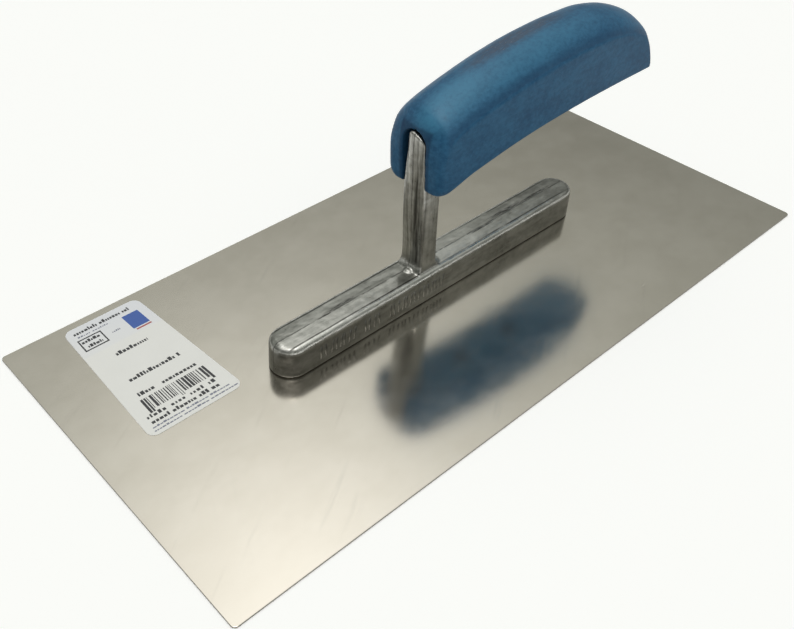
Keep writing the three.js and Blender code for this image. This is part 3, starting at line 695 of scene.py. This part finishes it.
def make_grip():
    xs = [GRIP_X0, -15.75, -15.6, -15.3, -14.9, -14.3, -13.6, -12.5, -11.4, -10] + [lerp(-8.5, 106, i / 76) for i in range(77)]
    ob = loft("wooden_grip", [grip_ring(x) for x in xs])
    rings = []
    for z in [40, 59] + [lerp(60, 84, i / 24) for i in range(25)] + [95]:
        arc = [lerp(-14, 14, i / 40) for i in range(41)]
        rings.append([(-60, -25, z)] + [(grip_end(z) + GRIP_END_SAG - GRIP_END_R + math.sqrt(GRIP_END_R**2 - y * y), y, z) for y in arc] + [(-60, 25, z)])
    cut(ob, loft("end_form", rings), "INTERSECT")
    rings = []
    for x in (-25, -14, SLOT_BACK_X):
        arc = [math.pi * k / 24 for k in range(25)]
        rings.append([(x, SLOT_SHIFT + SLOT_HALF, 30)]
                     + [(x, SLOT_SHIFT + SLOT_HALF * math.cos(a), SLOT_TOP_Z - SLOT_HALF + SLOT_HALF * math.sin(a)) for a in arc]
                     + [(x, SLOT_SHIFT - SLOT_HALF, 30)])
    cut(ob, loft("slot_form", rings))
    rings = []
    for x, bottom in ((-8, 52.0), (SLOT_BACK_X, 52.6), (-2.6, 54.2), (2, 55.7), (8, 56.9), (20, 58.9), (45, 60.9), (TANG_END_X + 0.8, 62.1)):
        h, zt = 3.8 - 0.4 * clamp((x + 5) / 81) + MORTISE_GAP, tang_top(x) + MORTISE_GAP
        arc = [math.pi * k / 16 for k in range(17)]
        rings.append([(x, h, bottom)] + [(x, h * math.cos(a), zt - h + h * math.sin(a)) for a in arc] + [(x, -h, bottom)])
    cut(ob, loft("mortise_form", rings))
    for x in SCREW_X:
        z = grip_foot(x)
        cut(ob, turned("screw_form", [(0, z - 3), (3.5, z - 3), (3.5, z + 0.55), (2.05, z + 2.5), (2.05, z + 6), (0, z + 6)], 40, (x, 0, 0)))
    voxel(ob, 0.42, smooth=4, factor=0.5)
    dress(shade(ob), M_BLUE)
    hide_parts("handle_grip")
    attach(ob, "root")
    return ob


# ------------------------------------------------------------------ label
def tapered(x, y):
    """The sheet is a little narrower toward the blade's long edge."""
    t = (y - (LABEL_C[1] - LABEL_SIZE[1] / 2)) / LABEL_SIZE[1]
    u = (x - (LABEL_C[0] - LABEL_SIZE[0] / 2)) / LABEL_SIZE[0]
    return lerp(lerp(-121.25, -118.7, t), lerp(-85.7, -89.3, t), u)


def make_label():
    outline = rounded_outline(LABEL_SIZE[0], LABEL_SIZE[1], LABEL_R, 10)
    z0, z1 = BLADE_T + 0.005, BLADE_T + LABEL_T

    def ring(inset, z):
        fx, fy = (LABEL_SIZE[0] / 2 - inset) / (LABEL_SIZE[0] / 2), (LABEL_SIZE[1] / 2 - inset) / (LABEL_SIZE[1] / 2)
        return [(tapered(LABEL_C[0] + x * fx, LABEL_C[1] + y * fy), LABEL_C[1] + y * fy, z) for x, y in outline]

    ob = loft("stuck_label", [ring(0, z0), ring(0, z1 - 0.04), ring(0.05, z1)])
    dress(ob, M_FILM)
    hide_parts("blade_label")
    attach(ob, "root")
    return ob


class Print:
    """Flat marks just above the label: plain bars and frames that stand for printing, with no letters or figures."""

    def __init__(self):
        self.v, self.f, self.m = [], [], []

    def poly(self, pts, mat, lift=0.0):
        z = BLADE_T + LABEL_T + 0.012 + lift
        base = len(self.v)
        self.v += [(tapered(x, y), y, z) for x, y in pts]
        self.f.append(tuple(range(base, base + len(pts))))
        self.m.append(mat)

    def rect(self, x0, y0, x1, y1, mat, lift=0.0):
        self.poly([(x0, y0), (x1, y0), (x1, y1), (x0, y1)], mat, lift)

    def dashes(self, x0, x1, y, h, mat, mean=1.0, gap=0.36, words=5):
        x, left = x0, words
        while x < x1 - 0.3:
            w = mean * random.uniform(0.55, 1.35)
            w = min(w, x1 - x)
            hh = h * random.choice((0.62, 0.62, 0.7, 1.0))
            self.rect(x, y - h / 2, x + w, y - h / 2 + hh, mat)
            x += w + gap
            left -= 1
            if left <= 0:
                x += gap * 2.6
                left = random.randint(max(2, words - 2), words + 2)

    def frame(self, x0, y0, x1, y1, t, mat):
        self.rect(x0, y0, x1, y0 + t, mat)
        self.rect(x0, y1 - t, x1, y1, mat)
        self.rect(x0, y0 + t, x0 + t, y1 - t, mat)
        self.rect(x1 - t, y0 + t, x1, y1 - t, mat)


def make_print():
    p = Print()
    black, grey, blue, red = 0, 1, 2, 3
    p.dashes(-117.4, -93.4, 58.9, 1.7, black, 1.05, 0.30, 9)
    p.dashes(-116.8, -104.0, 56.6, 0.7, grey, 0.8, 0.30, 5)
    p.rect(-98.3, 48.3, -91.3, 56.2, blue)
    p.rect(-97.6, 47.1, -91.3, 47.8, red)
    p.frame(-118.0, 48.6, -108.2, 55.2, 0.55, black)
    p.dashes(-117.0, -109.4, 53.4, 1.5, black, 1.0, 0.28, 9)
    p.dashes(-116.0, -110.0, 50.6, 1.5, black, 1.0, 0.28, 9)
    p.dashes(-105.4, -101.8, 51.6, 0.8, grey, 0.5, 0.25, 9)
    p.dashes(-110.4, -97.6, 41.3, 1.8, black, 0.95, 0.34, 12)
    p.dashes(-113.4, -94.0, 27.9, 1.8, black, 1.0, 0.34, 14)
    p.dashes(-114.6, -108.2, 20.4, 1.7, black, 0.95, 0.34, 9)
    p.dashes(-105.8, -92.6, 20.4, 1.7, black, 0.95, 0.34, 12)
    x = -115.4
    while x < -91.6:
        w = random.choice((0.25, 0.25, 0.42, 0.42, 0.62, 0.85))
        long_bar = x < -114.2 or x > -92.6 or abs(x + 103.5) < 0.5
        p.rect(x, 11.0 if long_bar else 12.2, x + w, 18.0, black)
        x += w + random.choice((0.3, 0.3, 0.5, 0.7))
    p.dashes(-117.4, -92.2, 10.2, 1.6, black, 0.95, 0.55, 5)
    p.dashes(-117.2, -93.2, 7.7, 1.7, black, 0.95, 0.32, 5)
    p.dashes(-118.0, -90.6, 5.5, 0.75, grey, 1.0, 0.22, 9)
    p.dashes(-118.2, -88.6, 4.0, 0.75, grey, 1.0, 0.22, 9)
    ob = mesh_object("label_print", p.v, p.f)
    dress(ob, M_BLACK, M_GREY, M_INKBLUE, M_RED)
    for poly, m in zip(ob.data.polygons, p.m):
        poly.material_index = m
        poly.use_smooth = False
    # All marks face up.
    bm = bmesh.new()
    bm.from_mesh(ob.data)
    for f in bm.faces:
        if f.normal.z < 0:
            f.normal_flip()
    bm.to_mesh(ob.data)
    bm.free()
    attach(ob, "root")
    return ob


# ------------------------------------------------------------------ raised ribs on the bar's side
def make_ribs():
    """Low plain ribs in three groups on the camera side of the bar, as raised casting marks with no letters."""
    verts, faces = [], []
    lo, hi = 3.5, 8.9
    half_lo, half_hi = lerp(7.25, 7.0, (lo - 1.2) / 9.8), lerp(7.25, 7.0, (hi - 1.2) / 9.8)
    proud, sink, b = 0.10, 0.2, 0.20
    rnd = random.Random(11)
    x = -61.0
    for count, gap in ((8, 3.2), (4, 3.2), (14, 0)):
        for k in range(count):
            w = 0.78 + 0.3 * rnd.random()
            step = 1.55 + 1.1 * rnd.random()
            slant = rnd.choice((-0.7, -0.3, 0.0, 0.0, 0.5, 0.8))
            base = len(verts)
            for xx, e in ((x, 0), (x + b, 1), (x + w - b, 1), (x + w, 0)):
                o = proud if e else -0.02
                verts += [(xx, -(half_lo - sink), lo), (xx, -(half_lo + o), lo + (0.25 if e else 0)), (xx + slant, -(half_hi + o), hi - (0.25 if e else 0)), (xx + slant, -(half_hi - sink), hi)]
            for m in range(3):
                a = base + 4 * m
                for j in range(3):
                    faces.append((a + j, a + j + 1, a + j + 5, a + j + 4))
                faces.append((a + 3, a, a + 4, a + 7))
            faces.append((base, base + 1, base + 2, base + 3))
            faces.append((base + 12, base + 15, base + 14, base + 13))
            x += step
        x += gap
    ob = mesh_object("bar_side_ribs", verts, faces)
    dress(shade(ob, True), M_CAST)
    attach(ob, "root")
    return ob


# ------------------------------------------------------------------ fasteners
def make_rivets():
    for i, x in enumerate(RIVET_X):
        ob = turned("flush_rivet_%d" % (i + 1), [(0, 0.03), (2.2, 0.025), (2.75, 0.04), (2.92, 0.10), (2.1, 0.66), (2.05, 0.75), (2.0, 1.0), (2.0, 8.5), (1.5, 8.95), (0, 9.0)], 56, (x, 0, 0))
        shade(ob)
        modify(ob, "EDGE_SPLIT", split_angle=math.radians(32))
        bake_modifiers(ob)
        dress(ob, M_RIVET)
        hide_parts("blade_rivet_%d" % (i + 1))
        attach(ob, "root")


def make_screws():
    for i, x in enumerate(SCREW_X):
        z = grip_foot(x) + 0.35
        profile = [(0, z), (2.9, z), (3.1, z + 0.2), (1.75, z + 2.0), (1.65, z + 3.3)]
        for k in range(6):
            t = z + 3.5 + k * 1.15
            profile += [(1.2, t), (1.70, t + 0.45), (1.2, t + 0.9)]
        profile += [(0.8, z + 10.6), (0, z + 10.7)]
        ob = turned("grip_screw_%d" % (i + 1), profile, 40, (x, 0, 0))
        for turn in (0, 90):
            c, s = math.cos(math.radians(turn)), math.sin(math.radians(turn))
            v = []
            for zz, l, w in ((z - 0.5, 2.0, 0.42), (z + 1.3, 0.7, 0.30)):
                for a, b in ((-l, -w), (l, -w), (l, w), (-l, w)):
                    v.append((x + a * c - b * s, a * s + b * c, zz))
            cut(ob, mesh_object("slot", v, [(0, 1, 2, 3), (4, 5, 6, 7), (0, 1, 5, 4), (1, 2, 6, 5), (2, 3, 7, 6), (3, 0, 4, 7)]))
        shade(ob)
        modify(ob, "EDGE_SPLIT", split_angle=math.radians(32))
        bake_modifiers(ob)
        dress(ob, M_SCREW)
        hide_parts("handle_screw_%d" % (i + 1))
        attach(ob, "root")


make_blade()
make_casting()
make_ribs()
make_grip()
make_label()
make_print()
make_rivets()
make_screws()


# ------------------------------------------------------------------ stage: pale floor
def make_floor():
    s, n = 6000.0, 12
    verts = [(lerp(-s, s, i / n), lerp(-s, s, j / n), 0.0) for j in range(n + 1) for i in range(n + 1)]
    faces = [(j * (n + 1) + i, j * (n + 1) + i + 1, (j + 1) * (n + 1) + i + 1, (j + 1) * (n + 1) + i) for j in range(n) for i in range(n)]
    ob = mesh_object("studio_floor", verts, faces)
    n_ = Nodes("pale_floor")
    soft = n_.noise(n_.scaled(n_.pos, (3, 3, 3)), detail=2)
    n_.set(Base_Color=n_.mix(soft, (0.90, 0.90, 0.895), (0.92, 0.92, 0.915)), Roughness=0.9)
    n_.bsdf.inputs["Emission Color"].default_value = (1, 1, 1, 1)
    n_.bsdf.inputs["Emission Strength"].default_value = 0.24
    n_.bsdf.inputs["Specular IOR Level"].default_value = 0.1
    dress(ob, n_.mat)


make_floor()


# ------------------------------------------------------------------ light
def direction(az, el):
    a, e = math.radians(az), math.radians(el)
    return Vector((math.cos(e) * math.cos(a), math.cos(e) * math.sin(a), math.sin(e)))


def make_world():
    w = bpy.data.worlds.new("soft_studio")
    bpy.context.scene.world = w
    w.use_nodes = True
    nt = w.node_tree
    nt.nodes.clear()
    out = nt.nodes.new("ShaderNodeOutputWorld")
    bg = nt.nodes.new("ShaderNodeBackground")
    tc = nt.nodes.new("ShaderNodeTexCoord")

    def m(op, a, b=0.0):
        n = nt.nodes.new("ShaderNodeMath")
        n.operation = op
        for s, v in zip(n.inputs, (a, b)):
            if isinstance(v, (int, float)):
                s.default_value = v
            else:
                nt.links.new(v, s)
        return n.outputs[0]

    def lobe(az, el, amp, sigma):
        d = nt.nodes.new("ShaderNodeVectorMath")
        d.operation = "DOT_PRODUCT"
        nt.links.new(tc.outputs["Generated"], d.inputs[0])
        d.inputs[1].default_value = direction(az, el)
        t = m("DIVIDE", m("ARCCOSINE", m("MINIMUM", d.outputs["Value"], 0.99999)), math.radians(sigma))
        return m("MULTIPLY", m("POWER", 2.718281828, m("MULTIPLY", m("MULTIPLY", t, t), -1.0)), amp)

    sep = nt.nodes.new("ShaderNodeSeparateXYZ")
    nt.links.new(tc.outputs["Generated"], sep.inputs[0])
    up = m("MAXIMUM", sep.outputs[2], 0.0)
    # The room is brighter on the side that the blade mirrors and dimmer behind the viewer.
    facing = nt.nodes.new("ShaderNodeVectorMath")
    facing.operation = "DOT_PRODUCT"
    nt.links.new(tc.outputs["Generated"], facing.inputs[0])
    facing.inputs[1].default_value = direction(49, 0)
    share = m("ADD", m("MULTIPLY", facing.outputs["Value"], 0.34), 0.74)
    low = m("MINIMUM", m("ADD", m("MULTIPLY", up, 1.7), 0.0), 1.0)
    sky = m("ADD", m("MULTIPLY", m("MULTIPLY", m("MULTIPLY", up, 0.74), share), low), 0.02)
    # Pale wall behind the floor, below the directions that the blade mirrors toward the viewer.
    wall = m("SUBTRACT", 1.0, m("MINIMUM", m("MULTIPLY", up, 3.6), 1.0))
    sky = m("ADD", sky, m("MULTIPLY", wall, 0.42))
    lamps = 0.0
    for az, el, amp, sigma in ((51.0, 60.3, 1.02, 13.9), (225, 79, 4.2, 18)):
        lamps = m("ADD", lobe(az, el, amp, sigma), lamps)
    bg.inputs["Color"].default_value = (0.965, 1.005, 0.925, 1)
    nt.links.new(sky, bg.inputs["Strength"])
    bg2 = nt.nodes.new("ShaderNodeBackground")
    bg2.inputs["Color"].default_value = (1, 0.99, 0.985, 1)
    nt.links.new(lamps, bg2.inputs["Strength"])
    both = nt.nodes.new("ShaderNodeAddShader")
    nt.links.new(bg.outputs[0], both.inputs[0])
    nt.links.new(bg2.outputs[0], both.inputs[1])
    nt.links.new(both.outputs[0], out.inputs[0])


make_world()


# ------------------------------------------------------------------ camera
def make_camera():
    data = bpy.data.cameras.new("studio_camera")
    cam = bpy.data.objects.new("studio_camera", data)
    bpy.context.scene.collection.objects.link(cam)
    right = Vector((0.754864, -0.655855, 0.005890))
    down = Vector((-0.431367, -0.503212, -0.748799))
    ahead = Vector((0.494068, 0.562700, -0.662771))
    rot = Matrix((right, -down, -ahead)).transposed()
    cam.matrix_world = Matrix.Translation(Vector((-202.425, -170.329, 214.190)) * MM) @ rot.to_4x4()
    data.sensor_width = 36.0
    data.lens = 912.445 / 794 * 36.0
    data.shift_x = 0.5 - 325.271 / 794
    data.shift_y = 0.0
    data.clip_start, data.clip_end = 0.01, 50.0
    data.dof.use_dof = False
    bpy.context.scene.camera = cam


make_camera()
bpy.context.scene.view_settings.view_transform = "Standard"
bpy.context.scene.view_settings.look = "None"
